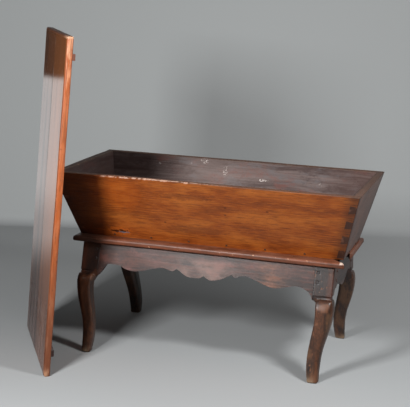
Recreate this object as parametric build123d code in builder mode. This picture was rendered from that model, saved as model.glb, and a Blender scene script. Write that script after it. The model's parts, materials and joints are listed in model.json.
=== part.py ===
from build123d import *
import os
from math import cos, hypot, radians, sin, tan

# An antique dough box: a trough of four leaning boards, dovetailed at the corners, standing on a
# low table with splayed cabriole legs, and its loose lid, leant on the trough's front left corner.
# Millimetres, +X to the right along the length, -Y to the front, +Z up.
# The origin is on the floor, midway between the four feet.

# Trough: outside sizes at the rim and at the underside, and the boards that it is made of
rim_length = 1250
rim_width = 610
rim_height = 750
base_length = 1108
base_width = 350
wall = 28
bottom_thickness = 22
rim_round = 2.5

# Through dovetails: the end boards' pins show on the front and back boards
pin_count = 4
pin_height = 40
lowest_pin = 26
top_pin_below_rim = 61
pin_slope = 1 / 6

# Wear along the front board's rim, from a chipped step on the left to nothing near the middle
wear_start = -455
wear_step = 25
wear_end = -30
wear_depth = 9
wear_middle = 0.7
wear_slope = 0.5

# Stand: moulded frame on top, aprons between square posts, cabriole legs below
stand_height = 473
splay_angle = 13.7
moulding_ledge_ends = 12.5
moulding_ledge_sides = 54
moulding_overhang_ends = 38.5
moulding_overhang_sides = 21
moulding_thickness = 23
moulding_reach = 71
moulding_top_round = 10
moulding_under_round = 6
moulding_break = -38
break_raggedness = 32
break_line = [(-0.02, 0), (0.1, -1), (0.3, 0.3), (0.5, -0.5), (0.75, 0.1), (1.02, -0.7)]
knee_drop = 128
post_size = 77
post_round = 2.5
apron_thickness = 24
apron_set_back = 1
tenon_thickness = 10
tenon_length = 30
tenon_shoulder = 15
front_tenon_depth = 85
side_tenon_depth = 63

# Cabriole leg below the posts. Each station is the share of the leg's height, the distance of the
# section's centre in from the stand's end and out from its front edge, and the section's two sides
leg_stations = [
    (0.00, 49, 80, 44, 36),
    (0.11, 52.5, 71.5, 47, 39),
    (0.23, 53.5, 62.5, 51, 43),
    (0.39, 49, 52, 54, 48),
    (0.56, 38, 44.5, 60, 55),
    (0.75, 26.5, 37.5, 65, 63),
    (0.93, 24, 31, 70, 70),
    (1.00, 24, 28.5, 72, 73),
]
outer_corner_share = 0.46
inner_corner_share = 0.4
arris_share = 0.12
knee_round = 8
foot_chamfer = 4
neck_height = 12
neck_recess = 6
ear_drop = 5
bracket_drop = 40
bracket_bow = 4
bracket_middle = 0.45
side_ear_height = 35
cove_middle = 0.3

# Lower edges of the front and side aprons: distances from the middle and drops below the top.
# The front one was cut by eye, so its halves differ. Each has a lobe from the middle to a cusp and
# a long wave from there to the leg, whose places are shares of the way from the cusp to the leg
right_lobe = [(0, 90), (13, 96.5), (27, 103), (46, 102), (64, 98), (96, 85), (118, 73)]
right_wave = [
    (0.057, 82),
    (0.096, 77),
    (0.171, 72.5),
    (0.255, 79),
    (0.408, 97),
    (0.544, 105),
    (0.652, 99),
    (0.811, 88.5),
    (0.877, 93),
    (0.955, 108),
]
left_lobe = [(0, 90), (12, 98.5), (27, 101), (50, 101), (66, 99), (93, 85), (115, 74)]
left_wave = [
    (0.062, 84),
    (0.104, 80.5),
    (0.167, 76),
    (0.229, 78),
    (0.381, 91),
    (0.56, 101),
    (0.667, 93),
    (0.72, 85.5),
    (0.804, 82),
    (0.893, 86),
    (0.935, 104),
]
side_lobe = [(0, 120), (25, 118), (60, 100), (100, 88), (125, 89), (150, 98)]
back_apron_depth = 105

# Lid: two boards and two battens, and the way it leans
lid_overhang_ends = 30
lid_overhang_sides = 5
lid_thickness = 26
lid_edge_round = 9
lid_end_round = 4
lid_joint_chamfer = 1.2
batten_width = 25
batten_thickness = 17
batten_clearance = 2
lid_yaw = 32.3
lid_lean = 3.9
lid_contact_shift = 17
rounding_loss = 0.52

# Pegs and hand-made nails
peg_diameter = 9
peg_length = 42
peg_proud = 1
peg_clearance = 0.02
peg_drops = (28, 64)
nail_shank = 4
nail_head = 8
nail_head_depth = 2
nail_head_rise = 1.2
moulding_nail_count = 4
moulding_nail_pitch = 240
moulding_nail_length = 52
side_nail_pitch = 110
broken_end_margin = 85
trough_nail_count = 6
trough_nail_pitch = 160
end_nail_pitch = 140
trough_nail_length = 52
lid_nail_length = 38
lid_nail_spots = (-245, -155, -50, 50, 155, 245)

# Running clearance between pieces that move apart
seat_gap = 0.3

# Sizes that follow from those above
trough_base = stand_height + seat_gap
trough_rise = rim_height - trough_base
moulding_length = base_length + 2 * moulding_ledge_ends
moulding_width = base_width + 2 * moulding_ledge_sides
stand_length = moulding_length - 2 * moulding_overhang_ends
stand_width = moulding_width - 2 * moulding_overhang_sides
apron_top = stand_height - moulding_thickness
leg_height = apron_top - knee_drop
half_stand = stand_length / 2
post_inner = half_stand - post_size
splay = tan(radians(splay_angle))
lid_length = rim_length + 2 * lid_overhang_ends
lid_width = rim_width + 2 * lid_overhang_sides
stock = 4 * rim_length

os.makedirs("parts", exist_ok=True)


def leaning_face(foot, head, along):
    """The plane through foot and head that holds the direction along; its normal is along x rise."""
    rise = Vector(*head) - Vector(*foot)
    return Plane(origin=foot, x_dir=along, z_dir=Vector(*along).cross(rise))


def sawn(cuts):
    """What is left of a large block behind every cut; a cut's normal points into the waste."""
    with BuildPart() as block:
        Box(stock, stock, stock)
        for cut in cuts:
            split(bisect_by=cut, keep=Keep.BOTTOM)
    return block.part


def slab(face, depth):
    """The two cuts of a board that has this outer face and this thickness."""
    return [face, -face.offset(-depth)]


def four_corners(piece):
    """The piece at the front right, and its mirror images at the other three corners."""
    right = [piece, mirror(piece, about=Plane.XZ)]
    return right + [mirror(each, about=Plane.YZ) for each in right]


def finish(name, piece):
    """Label a finished piece and write it to its file."""
    piece.label = name
    export_step(piece, f"parts/{name}.step")


# ---------------------------------------------------------------------------------------------
# Trough
# ---------------------------------------------------------------------------------------------

front_wall = leaning_face((0, -base_width / 2, trough_base), (0, -rim_width / 2, rim_height), (1, 0, 0))
back_wall = leaning_face((0, base_width / 2, trough_base), (0, rim_width / 2, rim_height), (-1, 0, 0))
right_wall = leaning_face((base_length / 2, 0, trough_base), (rim_length / 2, 0, rim_height), (0, 1, 0))
left_wall = leaning_face((-base_length / 2, 0, trough_base), (-rim_length / 2, 0, rim_height), (0, -1, 0))
trough_under = -Plane.XY.offset(trough_base)
rim = Plane.XY.offset(rim_height)
trough_floor = trough_base + bottom_thickness
wall_slant = hypot((rim_width - base_width) / 2, trough_rise)
pin_pitch = (wall_slant - lowest_pin - top_pin_below_rim) / (pin_count - 1)
side_lean = (rim_width - base_width) / 2 / trough_rise
end_lean = (rim_length - base_length) / 2 / trough_rise
side_wall_run = wall * hypot(1, side_lean)
end_wall_run = wall * hypot(1, end_lean)


def square_nail(length, proud):
    """A hand-made nail with its head on XY: square shank down, low four-sided head up."""
    with BuildPart() as nail:
        with BuildSketch(Plane.XY.offset(proud - nail_head_rise)):
            Rectangle(nail_head, nail_head)
        extrude(amount=nail_head_rise, taper=45)
        with BuildSketch(Plane.XY.offset(proud - nail_head_rise)):
            Rectangle(nail_head, nail_head)
        extrude(amount=-nail_head_depth)
        with BuildSketch(Plane.XY.offset(proud - nail_head_rise - nail_head_depth)):
            Rectangle(nail_shank, nail_shank)
        extrude(amount=-length)
    return nail.part


def corner_pins():
    """The front right corner's dovetail pins, wide inside and narrower at the end board's face."""
    with BuildPart() as pins:
        add(sawn(slab(front_wall, wall) + slab(right_wall, wall) + [trough_under, rim]))
        with BuildSketch(front_wall):
            for number in range(pin_count):
                middle = lowest_pin + number * pin_pitch
                edge = base_length / 2 + middle * (rim_length - base_length) / 2 / wall_slant
                inner, outer = edge - 2 * wall, edge + wall
                wide = pin_height / 2 + pin_slope * wall
                narrow = pin_height / 2 - 2 * pin_slope * wall
                with BuildLine():
                    Polyline(
                        (inner, middle - wide),
                        (outer, middle - narrow),
                        (outer, middle + narrow),
                        (inner, middle + wide),
                        close=True,
                    )
                make_face()
        extrude(amount=2 * wall, both=True, mode=Mode.INTERSECT)
    return pins.part


def spread(count, pitch):
    """Places at an even pitch on both sides of the middle."""
    return [(number - (count - 1) / 2) * pitch for number in range(count)]


def trough_nail_places():
    """Where the walls are nailed to the bottom boards, driven level."""
    height = trough_base + bottom_thickness / 2
    side = base_width / 2 + side_lean * bottom_thickness / 2
    end = base_length / 2 + end_lean * bottom_thickness / 2
    places = []
    for x in spread(trough_nail_count, trough_nail_pitch):
        places.append(Plane(origin=(x, -side, height), z_dir=(0, -1, 0)))
        places.append(Plane(origin=(x, side, height), z_dir=(0, 1, 0)))
    for y in spread(2, end_nail_pitch):
        places.append(Plane(origin=(-end, y, height), z_dir=(-1, 0, 0)))
        places.append(Plane(origin=(end, y, height), z_dir=(1, 0, 0)))
    return places


with BuildPart() as trough_nails:
    nail = square_nail(trough_nail_length, nail_head_rise)
    for place in trough_nail_places():
        add(place.location * nail)

pins = corner_pins()
across_front = [left_wall, right_wall, trough_under, rim]
between_sides = [front_wall.offset(-wall), back_wall.offset(-wall), trough_under, rim]

with BuildPart() as trough_front:
    add(sawn(slab(front_wall, wall) + across_front))
    add(pins, mode=Mode.SUBTRACT)
    mirror(pins, about=Plane.YZ, mode=Mode.SUBTRACT)
    fillet(edges().filter_by(Axis.X).group_by(Axis.Z)[-1], rim_round)
    # worn outer arris of the rim: the cut dies out towards the inside of the board
    with BuildSketch(Plane.XZ.offset(rim_width / 2)):
        with BuildLine():
            Polyline(
                (wear_end, rim_height),
                (wear_end, rim_height + wall),
                (wear_start, rim_height + wall),
                (wear_start, rim_height),
                (wear_start + wear_step, rim_height - wear_depth),
            )
            ThreePointArc(
                (wear_start + wear_step, rim_height - wear_depth),
                ((wear_start + wear_end) / 2, rim_height - wear_middle * wear_depth),
                (wear_end, rim_height),
            )
        make_face()
    extrude(amount=wall, dir=(0, 1, wear_slope), mode=Mode.SUBTRACT)
    add(trough_nails.part, mode=Mode.SUBTRACT)
finish("trough_front", trough_front.part)

with BuildPart() as trough_back:
    add(sawn(slab(back_wall, wall) + across_front))
    mirror(pins, about=Plane.XZ, mode=Mode.SUBTRACT)
    mirror(mirror(pins, about=Plane.XZ, mode=Mode.PRIVATE), about=Plane.YZ, mode=Mode.SUBTRACT)
    fillet(edges().filter_by(Axis.X).group_by(Axis.Z)[-1], rim_round)
    add(trough_nails.part, mode=Mode.SUBTRACT)
finish("trough_back", trough_back.part)

with BuildPart() as trough_right_end:
    add(sawn(slab(right_wall, wall) + between_sides))
    fillet(edges().filter_by(Axis.Y).group_by(Axis.Z)[-1], rim_round)
    add(pins)
    mirror(pins, about=Plane.XZ)
    add(trough_nails.part, mode=Mode.SUBTRACT)
finish("trough_right_end", trough_right_end.part)

with BuildPart() as trough_left_end:
    mirror(trough_right_end.part, about=Plane.YZ)
finish("trough_left_end", trough_left_end.part)

inside_walls = [face.offset(-wall) for face in (front_wall, back_wall, left_wall, right_wall)]
bottom_cuts = inside_walls + [trough_under, Plane.XY.offset(trough_floor)]

with BuildPart() as trough_bottom_front:
    add(sawn(bottom_cuts + [-Plane.XZ]))
    add(trough_nails.part, mode=Mode.SUBTRACT)
finish("trough_bottom_front", trough_bottom_front.part)

with BuildPart() as trough_bottom_back:
    mirror(trough_bottom_front.part, about=Plane.XZ)
finish("trough_bottom_back", trough_bottom_back.part)
finish("trough_nails", trough_nails.part)


# ---------------------------------------------------------------------------------------------
# Stand: planes and joints shared by the posts, the aprons and the moulding
# ---------------------------------------------------------------------------------------------

def stand_front(height):
    """How far in front of the middle the posts' splayed front faces are at a height."""
    return stand_width / 2 + (apron_top - height) * splay


post_front = leaning_face((0, -stand_front(0), 0), (0, -stand_front(apron_top), apron_top), (1, 0, 0))
post_depth = post_size * cos(radians(splay_angle))
post_back = -post_front.offset(-post_depth)
mirrored_post_back = leaning_face(
    (0, stand_front(0) - post_size, 0), (0, stand_front(apron_top) - post_size, apron_top), (-1, 0, 0))
post_side = Plane(origin=(half_stand, 0, 0), z_dir=(1, 0, 0))
post_inside = Plane(origin=(post_inner, 0, 0), z_dir=(-1, 0, 0))
stand_top = Plane.XY.offset(apron_top)
front_apron_face = post_front.offset(-apron_set_back)
side_apron_face = post_side.offset(-apron_set_back)
tenon_inset = (apron_thickness - tenon_thickness) / 2


def level(height):
    """A level cut that keeps what is above a height."""
    return -Plane.XY.offset(height)


def front_tenon():
    """The front apron's right tenon, inside the front right post."""
    tenon_end = Plane(origin=(post_inner + tenon_length, 0, 0), z_dir=(1, 0, 0))
    top = apron_top - tenon_shoulder
    cuts = slab(front_apron_face.offset(-tenon_inset), tenon_thickness)
    return sawn(cuts + [post_inside, tenon_end, Plane.XY.offset(top), level(top - front_tenon_depth)])


def side_tenon():
    """The right apron's front tenon, inside the front right post."""
    top = apron_top - tenon_shoulder
    cuts = slab(side_apron_face.offset(-tenon_inset), tenon_thickness)
    ends = [post_back, -post_back.offset(-tenon_length)]
    return sawn(cuts + ends + [Plane.XY.offset(top), level(top - side_tenon_depth)])


def corner_pegs(radius, length):
    """The front right post's pegs: two through each tenon."""
    with BuildPart() as pegs:
        for drop in peg_drops:
            height = apron_top - drop
            x = post_inner + tenon_length / 2
            y = -stand_front(height)
            with BuildSketch(Plane(origin=(x, y, height), z_dir=post_front.z_dir).offset(peg_proud)):
                Circle(radius)
            extrude(amount=-length)
            inside = stand_front(height) - post_size
            with BuildSketch(Plane(origin=(half_stand + peg_proud, -inside - tenon_length / 2, height),
                                   z_dir=(1, 0, 0))):
                Circle(radius)
            extrude(amount=-length)
    return pegs.part


def leg_section(share, inset, outset, width, depth):
    """The leg's section at a station: a rectangle with its outer and inner corners well rounded."""
    small = min(width, depth)
    outwards = Axis((0, 0, 0), (1, -1, 0))
    sideways = Axis((0, 0, 0), (1, 1, 0))
    centre = (half_stand - inset, -stand_width / 2 - outset, share * leg_height)
    with BuildSketch(Plane(origin=centre)) as section:
        Rectangle(width, depth)
        fillet(vertices().sort_by(outwards)[-1], outer_corner_share * small)
        fillet(vertices().sort_by(outwards)[0], inner_corner_share * small)
        sides = vertices().sort_by(sideways)
        fillet([sides[0], sides[-1]], arris_share * small)
    return section.sketch


def cabriole_leg():
    """The front right leg below its post, with the knee's rounded shoulder."""
    with BuildPart() as curve:
        for station in leg_stations:
            add(leg_section(*station))
        loft()
        fillet(faces().sort_by(Axis.Z)[-1].edges(), knee_round)
        chamfer(faces().sort_by(Axis.Z)[0].edges(), foot_chamfer)
    return curve.part


def post_and_neck():
    """The front right post, stepped in at the neck, with the ears that lead into the aprons."""
    neck_top = leg_height + neck_height
    _, knee_inset, knee_outset, knee_width, knee_depth = leg_stations[-1]
    knee_back = stand_width / 2 + knee_outset - knee_depth / 2
    knee_inner = half_stand - knee_inset - knee_width / 2
    ear_top = leg_height + side_ear_height
    ear_back = stand_front(ear_top) - post_size
    with BuildPart() as post:
        add(sawn([post_front, post_back, post_side, post_inside, stand_top, level(neck_top)]))
        upright = [edge for edge in edges() if abs(edge.tangent_at(0.5).Z) > 0.9]
        fillet([edge for edge in upright if edge.center().X > post_inner + 1], post_round)
        add(sawn([post_front.offset(-neck_recess), post_back, post_side.offset(-neck_recess),
                  post_inside, Plane.XY.offset(neck_top), level(leg_height - knee_round)]))
        # bracket that carries the front apron's curve down to the inside of the knee
        with BuildSketch(Plane.XZ.offset(knee_back)):
            with BuildLine():
                Polyline(
                    (knee_inner + knee_round, leg_height - bracket_drop),
                    (knee_inner + 2 * knee_round, leg_height - bracket_drop),
                    (knee_inner + 2 * knee_round, neck_top),
                    (post_inner, neck_top),
                    (post_inner, leg_height - ear_drop),
                )
                ThreePointArc(
                    (post_inner, leg_height - ear_drop),
                    (knee_inner - bracket_bow, leg_height - bracket_middle * bracket_drop),
                    (knee_inner + knee_round, leg_height - bracket_drop),
                )
            make_face()
        extrude(amount=stand_front(leg_height) - neck_recess - knee_back)
        # cove at the back of the post, under the side apron
        with BuildSketch(Plane.YZ.offset(post_inner - 1)):
            with BuildLine():
                Polyline(
                    (-ear_back, ear_top),
                    (0, ear_top),
                    (0, leg_height - bracket_drop),
                    (-knee_back, leg_height - bracket_drop),
                    (-knee_back, leg_height),
                )
                ThreePointArc(
                    (-knee_back, leg_height),
                    (-knee_back + cove_middle * (knee_back - ear_back), ear_top - cove_middle * side_ear_height),
                    (-ear_back, ear_top),
                )
            make_face()
        extrude(amount=2 * post_size, mode=Mode.SUBTRACT)
    return post.part


with BuildPart() as front_right_leg:
    add(cabriole_leg())
    add(post_and_neck())
    add(front_tenon(), mode=Mode.SUBTRACT)
    add(side_tenon(), mode=Mode.SUBTRACT)
    add(corner_pegs(peg_diameter / 2 + peg_clearance, peg_length), mode=Mode.SUBTRACT)

leg_names = ("leg_front_right", "leg_back_right", "leg_front_left", "leg_back_left")
for name, leg in zip(leg_names, four_corners(front_right_leg.part)):
    finish(name, leg)

with BuildPart() as apron_pegs:
    for pegs in four_corners(corner_pegs(peg_diameter / 2, peg_length)):
        add(pegs)
finish("apron_pegs", apron_pegs.part)


# ---------------------------------------------------------------------------------------------
# Moulding and its nails
# ---------------------------------------------------------------------------------------------

def moulding_nail_places():
    """Nails down into the aprons; none where the right moulding is broken away."""
    front = stand_width / 2 - apron_thickness / 2
    end = half_stand - apron_thickness / 2
    spots = [(x, side * front) for x in spread(moulding_nail_count, moulding_nail_pitch) for side in (-1, 1)]
    spots += [(-end, y) for y in spread(3, side_nail_pitch)]
    spots += [(end, y) for y in (moulding_break + broken_end_margin, side_nail_pitch)]
    return [Plane(origin=(x, y, stand_height)) for x, y in spots]


with BuildPart() as moulding_nails:
    nail = square_nail(moulding_nail_length, 0)
    for place in moulding_nail_places():
        add(place.location * nail)
finish("moulding_nails", moulding_nails.part)


def moulding(plane, outer, half_length):
    """One side of the moulded frame along X, its outer edge rounded, both ends mitred."""
    with BuildPart() as strip:
        with BuildSketch(Plane.YZ.offset(-half_length)):
            with BuildLine():
                Polyline(
                    (-outer, apron_top),
                    (-outer + moulding_reach, apron_top),
                    (-outer + moulding_reach, stand_height),
                    (-outer, stand_height),
                    close=True,
                )
            make_face()
            fillet(vertices().group_by(Axis.X)[0].sort_by(Axis.Y)[-1], moulding_top_round)
            fillet(vertices().group_by(Axis.X)[0].sort_by(Axis.Y)[0], moulding_under_round)
        extrude(amount=2 * half_length)
        for side in (-1, 1):
            split(bisect_by=Plane(origin=(side * half_length, -outer, 0), z_dir=(side, 1, 0)),
                  keep=Keep.BOTTOM)
    return plane.location * strip.part


quarter_turn = Plane(origin=(0, 0, 0), x_dir=(0, 1, 0), z_dir=(0, 0, 1))

with BuildPart() as moulding_front:
    add(moulding(Plane.XY, moulding_width / 2, moulding_length / 2))
    add(moulding_nails.part, mode=Mode.SUBTRACT)
finish("moulding_front", moulding_front.part)

with BuildPart() as moulding_back:
    mirror(moulding_front.part, about=Plane.XZ)
finish("moulding_back", moulding_back.part)

with BuildPart() as moulding_right:
    add(moulding(quarter_turn, moulding_length / 2, moulding_width / 2))
    outer = moulding_length / 2
    front = -moulding_width / 2
    ragged = [
        (outer - share * moulding_reach, moulding_break + rise * break_raggedness) for share, rise in break_line
    ]
    with BuildSketch(Plane.XY.offset(apron_top)):
        with BuildLine():
            Polyline(*ragged, (ragged[-1][0], front), (ragged[0][0], front), close=True)
        make_face()
    extrude(amount=moulding_thickness, mode=Mode.SUBTRACT)
    add(moulding_nails.part, mode=Mode.SUBTRACT)
finish("moulding_right", moulding_right.part)

with BuildPart() as moulding_left:
    mirror(moulding(quarter_turn, moulding_length / 2, moulding_width / 2), about=Plane.YZ)
    add(moulding_nails.part, mode=Mode.SUBTRACT)
finish("moulding_left", moulding_left.part)


# ---------------------------------------------------------------------------------------------
# Aprons
# ---------------------------------------------------------------------------------------------

left_post_inside = Plane(origin=(-post_inner, 0, 0), z_dir=(-1, 0, 0))
between_posts = [-post_inside, left_post_inside, stand_top]


def mirrored_ends(piece, about):
    """Add a piece and its mirror image to the part under construction."""
    add(piece)
    mirror(piece, about=about)


def drilled_and_nailed():
    """Cut the holes for the pegs and the moulding's nails in the apron under construction."""
    for holes in four_corners(corner_pegs(peg_diameter / 2 + peg_clearance, peg_length)):
        add(holes, mode=Mode.SUBTRACT)
    add(moulding_nails.part, mode=Mode.SUBTRACT)


def below_top(places):
    """Points on an apron's lower edge, from distances and drops."""
    return [(along, apron_top - drop) for along, drop in places]


def half_front_edge(side, lobe, wave):
    """Half of the front apron's lower edge: a lobe to the cusp, and a wave from there to the leg."""
    cusp = lobe[-1][0]
    waves = [(cusp + share * (post_inner - cusp), drop) for share, drop in wave]
    waves.append((post_inner, apron_top - leg_height + ear_drop))
    Spline(*[(side * along, height) for along, height in below_top(lobe)])
    Spline(*[(side * along, height) for along, height in below_top([lobe[-1]] + waves)])


with BuildPart() as apron_front:
    add(sawn(slab(front_apron_face, apron_thickness) + between_posts))
    ear = leg_height - ear_drop
    with BuildSketch(Plane.XZ):
        with BuildLine():
            half_front_edge(1, right_lobe, right_wave)
            half_front_edge(-1, left_lobe, left_wave)
            Polyline((post_inner, ear), (post_inner, apron_top), (-post_inner, apron_top), (-post_inner, ear))
        make_face()
    extrude(amount=stand_width, mode=Mode.INTERSECT)
    mirrored_ends(front_tenon(), Plane.YZ)
    drilled_and_nailed()
finish("apron_front", apron_front.part)

with BuildPart() as apron_back:
    add(sawn(slab(front_apron_face, apron_thickness) + between_posts + [level(apron_top - back_apron_depth)]))
    mirrored_ends(front_tenon(), Plane.YZ)
    drilled_and_nailed()
finish("apron_back", mirror(apron_back.part, about=Plane.XZ))

with BuildPart() as apron_right:
    lower = below_top(side_lobe)
    end = (post_depth + lower[-1][0], lower[-1][1])
    add(sawn(slab(side_apron_face, apron_thickness) + [-post_back, mirrored_post_back, stand_top]))
    with BuildSketch(Plane.YZ):
        with BuildLine():
            Spline(*lower)
            Polyline(lower[-1], end, (end[0], apron_top), (0, apron_top))
            mirror(about=Plane.YZ)
        make_face()
    extrude(amount=half_stand, mode=Mode.INTERSECT)
    mirrored_ends(side_tenon(), Plane.XZ)

with BuildPart() as apron_left:
    mirror(apron_right.part, about=Plane.YZ)
    drilled_and_nailed()
finish("apron_left", apron_left.part)

with apron_right:
    drilled_and_nailed()
finish("apron_right", apron_right.part)


# ---------------------------------------------------------------------------------------------
# Lid: drawn flat on a plane of its own, x across it, y up it and z out of its inner face
# ---------------------------------------------------------------------------------------------

yaw = radians(lid_yaw)
lean = radians(lid_lean)
lid_across = Vector(-sin(yaw), cos(yaw), 0)
lid_inwards = Vector(cos(lean) * cos(yaw), cos(lean) * sin(yaw), -sin(lean))
lid_up = lid_inwards.cross(lid_across)
rim_corner = Vector(-rim_length / 2, -rim_width / 2, rim_height)
lid_contact = rim_corner + lid_inwards * (rounding_loss * rim_round - seat_gap)
lid_rise = lid_contact.Z / cos(lean)
lid_foot = lid_contact - lid_across * lid_contact_shift - lid_up * lid_rise
lid_plane = Plane(origin=lid_foot, x_dir=lid_across, z_dir=lid_inwards)

batten_edge = lid_overhang_ends + end_wall_run + batten_thickness * end_lean + batten_clearance
batten_reach = rim_width / 2 - side_wall_run - batten_clearance
batten_rows = (batten_edge + batten_width / 2, lid_length - batten_edge - batten_width / 2)

with BuildPart() as lid_nails:
    nail = square_nail(lid_nail_length, 0)
    for row in batten_rows:
        for spot in lid_nail_spots:
            place = Plane(origin=(spot, row, -lid_thickness), z_dir=(0, 0, -1))
            add(lid_plane.location * place.location * nail)


def lid_board(side):
    """One of the lid's boards, on the far side (1) or the near side (-1) of the middle joint."""
    with BuildPart() as board:
        with BuildSketch():
            with Locations((side * lid_width / 4, lid_length / 2)):
                Rectangle(lid_width / 2, lid_length)
        extrude(amount=-lid_thickness)
        outer = faces().sort_by(Axis.Z)[0]
        across = outer.edges().filter_by(Axis.X)
        along = outer.edges().filter_by(Axis.Y).sort_by(Axis.X)
        rims = [along[-1], along[0]] if side > 0 else [along[0], along[-1]]
        fillet(across + [rims[0]], lid_edge_round)
        outer = faces().sort_by(Axis.Z)[0]
        joint = outer.edges().filter_by(Axis.Y).sort_by_distance((0, lid_length / 2, -lid_thickness))[0]
        chamfer(joint, lid_joint_chamfer)
        inner = faces().sort_by(Axis.Z)[-1].edges().filter_by(Axis.Y)
        fillet(inner.sort_by_distance((0, lid_length / 2, 0))[-1], lid_end_round)
    with BuildPart() as leaning:
        add(lid_plane.location * board.part)
        add(lid_nails.part, mode=Mode.SUBTRACT)
    return leaning.part


def lid_batten(row):
    """A batten on the lid's inner face, its ends bevelled to clear the trough's leaning sides."""
    with BuildPart() as batten:
        with BuildSketch(Plane.XZ.offset(-row)):
            with BuildLine():
                reach = batten_reach - batten_thickness * side_lean
                Polyline(
                    (-batten_reach, 0),
                    (batten_reach, 0),
                    (reach, batten_thickness),
                    (-reach, batten_thickness),
                    close=True,
                )
            make_face()
        extrude(amount=batten_width / 2, both=True)
        chamfer(faces().sort_by(Axis.Z)[-1].edges().filter_by(Axis.X), lid_joint_chamfer)
    with BuildPart() as leaning:
        add(lid_plane.location * batten.part)
        add(lid_nails.part, mode=Mode.SUBTRACT)
    return leaning.part


finish("lid_board_far", lid_board(1))
finish("lid_board_near", lid_board(-1))
finish("lid_batten_bottom", lid_batten(batten_rows[0]))
finish("lid_batten_top", lid_batten(batten_rows[1]))
finish("lid_nails", lid_nails.part)
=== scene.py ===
"""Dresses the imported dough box: hand-planed boards, worn polish, dark stained stand, lid leant on the trough.

Everything is in metres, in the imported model's own frame: +X to the right along the trough, -Y to the
front, +Z up, with the floor at Z = 0.
"""

import json
from math import cos, pi, radians, sin

import bmesh
import bpy
import numpy as np
from bpy.props import FloatProperty, FloatVectorProperty, PointerProperty
from mathutils import Matrix, Vector

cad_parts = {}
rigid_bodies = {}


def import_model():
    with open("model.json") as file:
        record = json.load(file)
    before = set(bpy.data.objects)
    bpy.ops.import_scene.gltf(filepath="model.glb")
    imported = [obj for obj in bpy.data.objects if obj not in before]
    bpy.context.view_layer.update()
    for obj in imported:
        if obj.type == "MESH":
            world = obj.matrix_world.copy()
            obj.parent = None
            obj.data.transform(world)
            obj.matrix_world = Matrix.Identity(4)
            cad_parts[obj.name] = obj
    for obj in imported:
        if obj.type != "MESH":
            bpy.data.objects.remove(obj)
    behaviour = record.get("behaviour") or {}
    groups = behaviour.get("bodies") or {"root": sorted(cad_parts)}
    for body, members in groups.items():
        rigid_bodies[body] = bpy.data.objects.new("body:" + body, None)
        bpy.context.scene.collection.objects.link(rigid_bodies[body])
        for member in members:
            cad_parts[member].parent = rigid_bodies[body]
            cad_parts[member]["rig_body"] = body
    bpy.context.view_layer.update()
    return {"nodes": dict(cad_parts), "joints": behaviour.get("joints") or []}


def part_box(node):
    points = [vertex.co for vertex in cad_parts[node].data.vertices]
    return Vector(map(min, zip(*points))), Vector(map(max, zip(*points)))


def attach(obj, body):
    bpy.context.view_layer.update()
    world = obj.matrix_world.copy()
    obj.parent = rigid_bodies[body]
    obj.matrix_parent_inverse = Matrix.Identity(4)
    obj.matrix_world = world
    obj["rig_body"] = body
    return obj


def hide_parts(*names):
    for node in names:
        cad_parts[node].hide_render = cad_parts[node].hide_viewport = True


bl_info = {
    "name": "Dough box",
    "version": (1, 0, 0),
    "blender": (4, 5, 0),
    "location": "3D View > Sidebar > Dough box",
    "description": "Dresses an antique dough box with a loose lid and sets it in a studio",
    "category": "Object",
}

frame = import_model()

X, Y, Z = (1, 0, 0), (0, 1, 0), (0, 0, 1)

# Heights of the trough's base and rim, and of the moulding that it sits on
FRONT_LOW, FRONT_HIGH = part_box("trough_front")
BASE, RIM = FRONT_LOW.z, FRONT_HIGH.z
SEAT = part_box("moulding_front")[1].z

# The posts: heights of their feet and tops, half the width over them, and half the depth at their tops
POST_FOOT = 0.322
POST_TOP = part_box("apron_front")[1].z
POST_OUTSIDE = 0.528
POST_FRONT = 0.208

# The lid: directions across it, up it and inwards, its foot, where its boards meet across it, its length
LID_HINGE = next(joint for joint in frame["joints"] if joint["name"] == "lid_tip")
LID_ACROSS = -Vector(LID_HINGE["axis"])
LID_LEAN = radians(LID_HINGE["range_deg"][1] - 90)
LID_LEVEL = Vector((LID_ACROSS.y, -LID_ACROSS.x, 0))
LID_UP = LID_LEVEL * sin(LID_LEAN) + Vector((0, 0, cos(LID_LEAN)))
LID_INWARDS = LID_ACROSS.cross(LID_UP)
LID_FOOT = Vector(LID_HINGE["pos_m"])
LID_JOINT = 0.0
LID_LENGTH = 1.31


def leaning(x, y, slope):
    """The directions up and out of a wall that faces x, y and leans outwards by a slope."""
    return Vector((x * slope, y * slope, 1)).normalized(), Vector((x, y, -slope)).normalized()


# Slopes of the trough's walls and of the stand's front, as run over rise
SIDE_SLOPE = 130 / 276.7
END_SLOPE = 71 / 276.7
STAND_SLOPE = 0.2438

FRONT_UP, FRONT_OUT = leaning(0, -1, SIDE_SLOPE)
BACK_UP, BACK_OUT = leaning(0, 1, SIDE_SLOPE)
RIGHT_UP, RIGHT_OUT = leaning(1, 0, END_SLOPE)
LEFT_UP, LEFT_OUT = leaning(-1, 0, END_SLOPE)
APRON_UP, APRON_OUT = leaning(0, -1, -STAND_SLOPE)

# Middles of the walls' feet, on their outer faces
FRONT_FOOT, BACK_FOOT = (0, -0.175, BASE), (0, 0.175, BASE)
RIGHT_FOOT, LEFT_FOOT = (0.554, 0, BASE), (-0.554, 0, BASE)

# Depths behind a wall's outer face between which the bare inside begins
BARE_DEPTHS = (0.0225, 0.0255)

# Chips along the front board's rim: place along the board and half length, and their height and reach
FRONT_CHIPS = ((-0.385, 0.016), (-0.318, 0.008), (-0.232, 0.012), (-0.15, 0.018), (-0.06, 0.009))
CHIPS_HEIGHT = 0.3035
CHIPS_REACH = 0.004

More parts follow.
